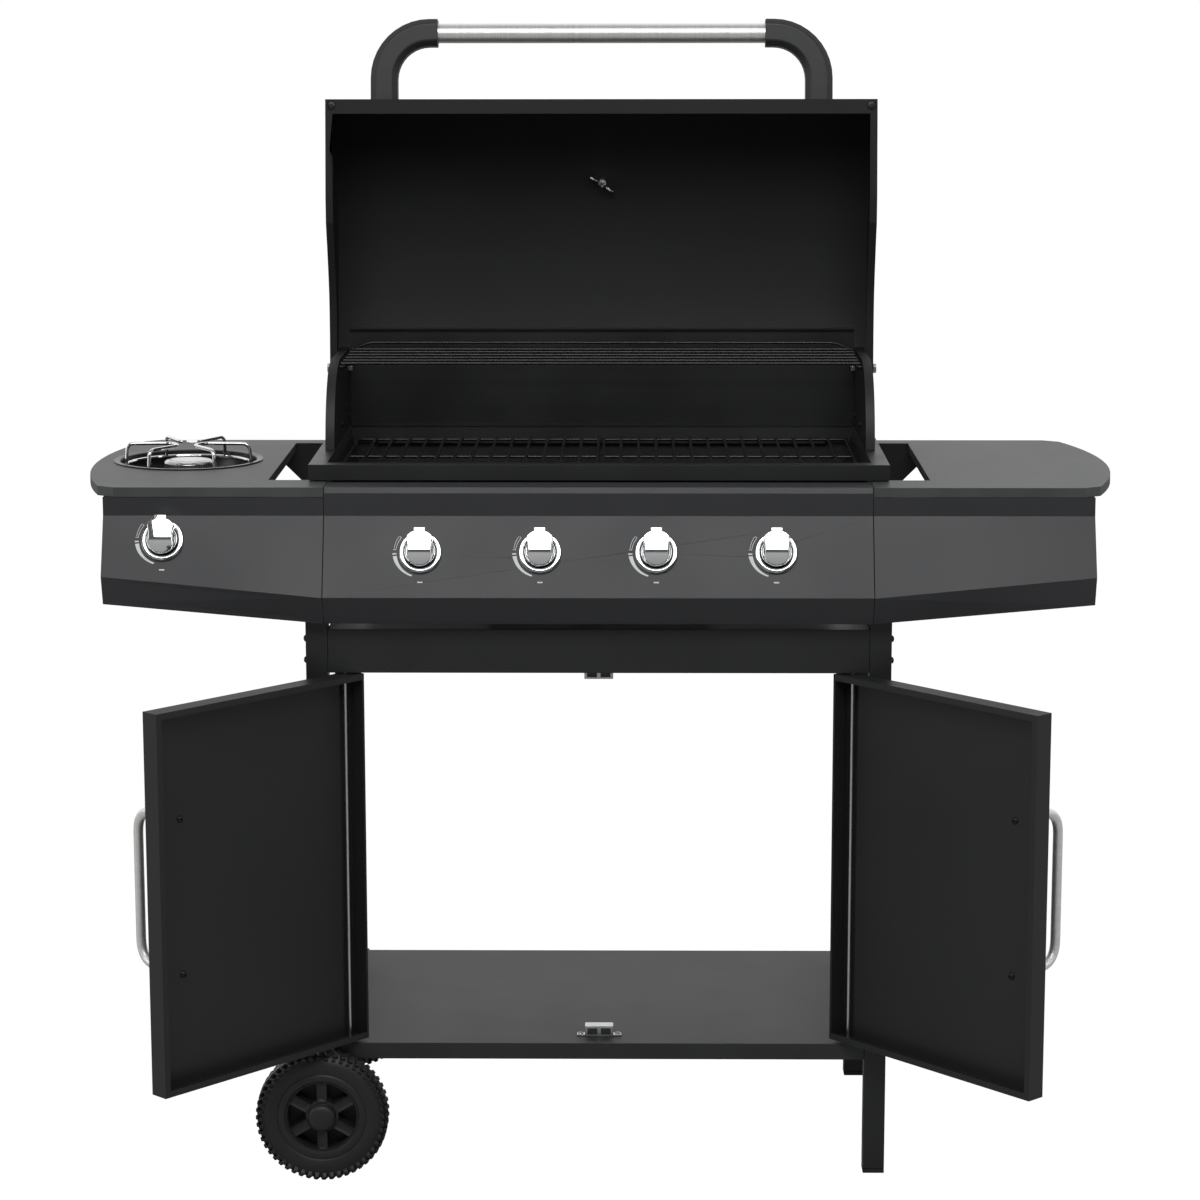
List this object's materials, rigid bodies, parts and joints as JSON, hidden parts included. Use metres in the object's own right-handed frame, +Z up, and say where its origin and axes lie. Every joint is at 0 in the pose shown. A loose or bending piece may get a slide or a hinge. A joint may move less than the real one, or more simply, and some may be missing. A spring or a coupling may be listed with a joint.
{
  "type": "gas barbecue grill",
  "caption": "Gas barbecue on a wheeled cart with a hinged lid, side tables, a side burner, turn knobs, drip tray and cabinet doors.",
  "frame": {"origin": "middle of the whole object's footprint at floor level, lid and doors open as they are at rest", "axes": "+X to the viewer's right, +Y to the back, +Z up"},
  "size_m": [1.3, 0.7582, 1.4418],
  "materials": {
    "black_paint": "satin black powder coat",
    "panel_paint": "charcoal powder coat",
    "table_paint": "dark grey textured powder coat",
    "enamel": "black porcelain enamel",
    "brushed": "brushed",
    "steel": "plain stainless",
    "chrome": "polished",
    "zinc": "zinc plated",
    "brass": "plain",
    "plastic": "moulded black"
  },
  "bodies": {
    "cart": {"front_leg_left": "black_paint", "front_leg_right": "black_paint", "rear_leg_left": "black_paint", "rear_leg_right": "black_paint", "side_rail_left": "black_paint", "side_rail_right": "black_paint", "front_rail": "black_paint", "side_burner_bowl": "black_paint", "bottom_shelf": "table_paint", "side_table_left": "table_paint", "side_table_right": "table_paint", "control_panel": "panel_paint", "side_fascia_left": "panel_paint", "side_fascia_right": "panel_paint", "firebox": "enamel", "hood_end_left": "enamel", "hood_end_right": "enamel", "back_panel": "enamel", "heat_tent_1": "enamel", "heat_tent_2": "enamel", "heat_tent_3": "enamel", "heat_tent_4": "enamel", "cooking_grate_left": "enamel", "cooking_grate_right": "enamel", "warming_rack": "enamel", "burner_tube_1": "steel", "burner_tube_2": "steel", "burner_tube_3": "steel", "burner_tube_4": "steel", "side_burner_head": "steel", "side_burner_pot_support": "chrome", "wheel_axle": "zinc", "lid_hinge_bolt_left": "zinc", "lid_hinge_bolt_right": "zinc", "door_hinge_rod_left": "zinc", "door_hinge_rod_right": "zinc", "upper_magnet_catch": "zinc", "lower_magnet_catch": "zinc", "gas_manifold": "brass", "foot_cap_front": "plastic", "foot_cap_rear": "plastic"},
    "lid": {"lid_shell": "black_paint", "thermometer": "brushed", "thermometer_wing_nut": "zinc", "handle_tube": "brushed", "handle_elbow_left": "plastic", "handle_elbow_right": "plastic"},
    "door_left": {"door_left": "panel_paint", "door_handle_left": "brushed"},
    "door_right": {"door_right": "panel_paint", "door_handle_right": "brushed"},
    "wheel_front": {"wheel_front": "plastic"},
    "wheel_rear": {"wheel_rear": "plastic"},
    "drip_tray": {"drip_tray": "steel", "grease_cup": "steel"},
    "knob_1": {"knob_1": "chrome"},
    "knob_2": {"knob_2": "chrome"},
    "knob_3": {"knob_3": "chrome"},
    "knob_4": {"knob_4": "chrome"},
    "side_burner_knob": {"side_burner_knob": "chrome"}
  },
  "joints": [
    {"name": "lid_hinge", "type": "hinge", "parent": "cart", "child": "lid", "pos_m": [0, 0.25113, 0.982], "axis": [1, 0, 0], "range_deg": [0, 98]},
    {"name": "door_left_hinge", "type": "hinge", "parent": "cart", "child": "door_left", "pos_m": [-0.3145, -0.13787, 0.4], "axis": [0, 0, 1], "range_deg": [0, 133]},
    {"name": "door_right_hinge", "type": "hinge", "parent": "cart", "child": "door_right", "pos_m": [0.3145, -0.13787, 0.4], "axis": [0, 0, 1], "range_deg": [-133, 0]},
    {"name": "wheel_front_spin", "type": "hinge", "parent": "cart", "child": "wheel_front", "pos_m": [-0.3485, -0.16337, 0.0835], "axis": [0, 1, 0], "continuous": true},
    {"name": "wheel_rear_spin", "type": "hinge", "parent": "cart", "child": "wheel_rear", "pos_m": [-0.3485, 0.28663, 0.0835], "axis": [0, 1, 0], "continuous": true},
    {"name": "drip_tray_slide", "type": "slide", "parent": "cart", "child": "drip_tray", "axis": [0, 1, 0], "range_m": [0, 0.3]},
    {"name": "knob_1_turn", "type": "hinge", "parent": "cart", "child": "knob_1", "pos_m": [-0.2175, -0.16578, 0.802], "axis": [0, -0.9146, 0.4044], "range_deg": [0, 180]},
    {"name": "knob_2_turn", "type": "hinge", "parent": "cart", "child": "knob_2", "pos_m": [-0.071, -0.16578, 0.802], "axis": [0, -0.9146, 0.4044], "range_deg": [0, 180]},
    {"name": "knob_3_turn", "type": "hinge", "parent": "cart", "child": "knob_3", "pos_m": [0.071, -0.16578, 0.802], "axis": [0, -0.9146, 0.4044], "range_deg": [0, 180]},
    {"name": "knob_4_turn", "type": "hinge", "parent": "cart", "child": "knob_4", "pos_m": [0.2175, -0.16578, 0.802], "axis": [0, -0.9146, 0.4044], "range_deg": [0, 180]},
    {"name": "side_burner_knob_turn", "type": "hinge", "parent": "cart", "child": "side_burner_knob", "pos_m": [-0.5335, -0.1596, 0.816], "axis": [0, -0.9146, 0.4044], "range_deg": [0, 180]}
  ]
}
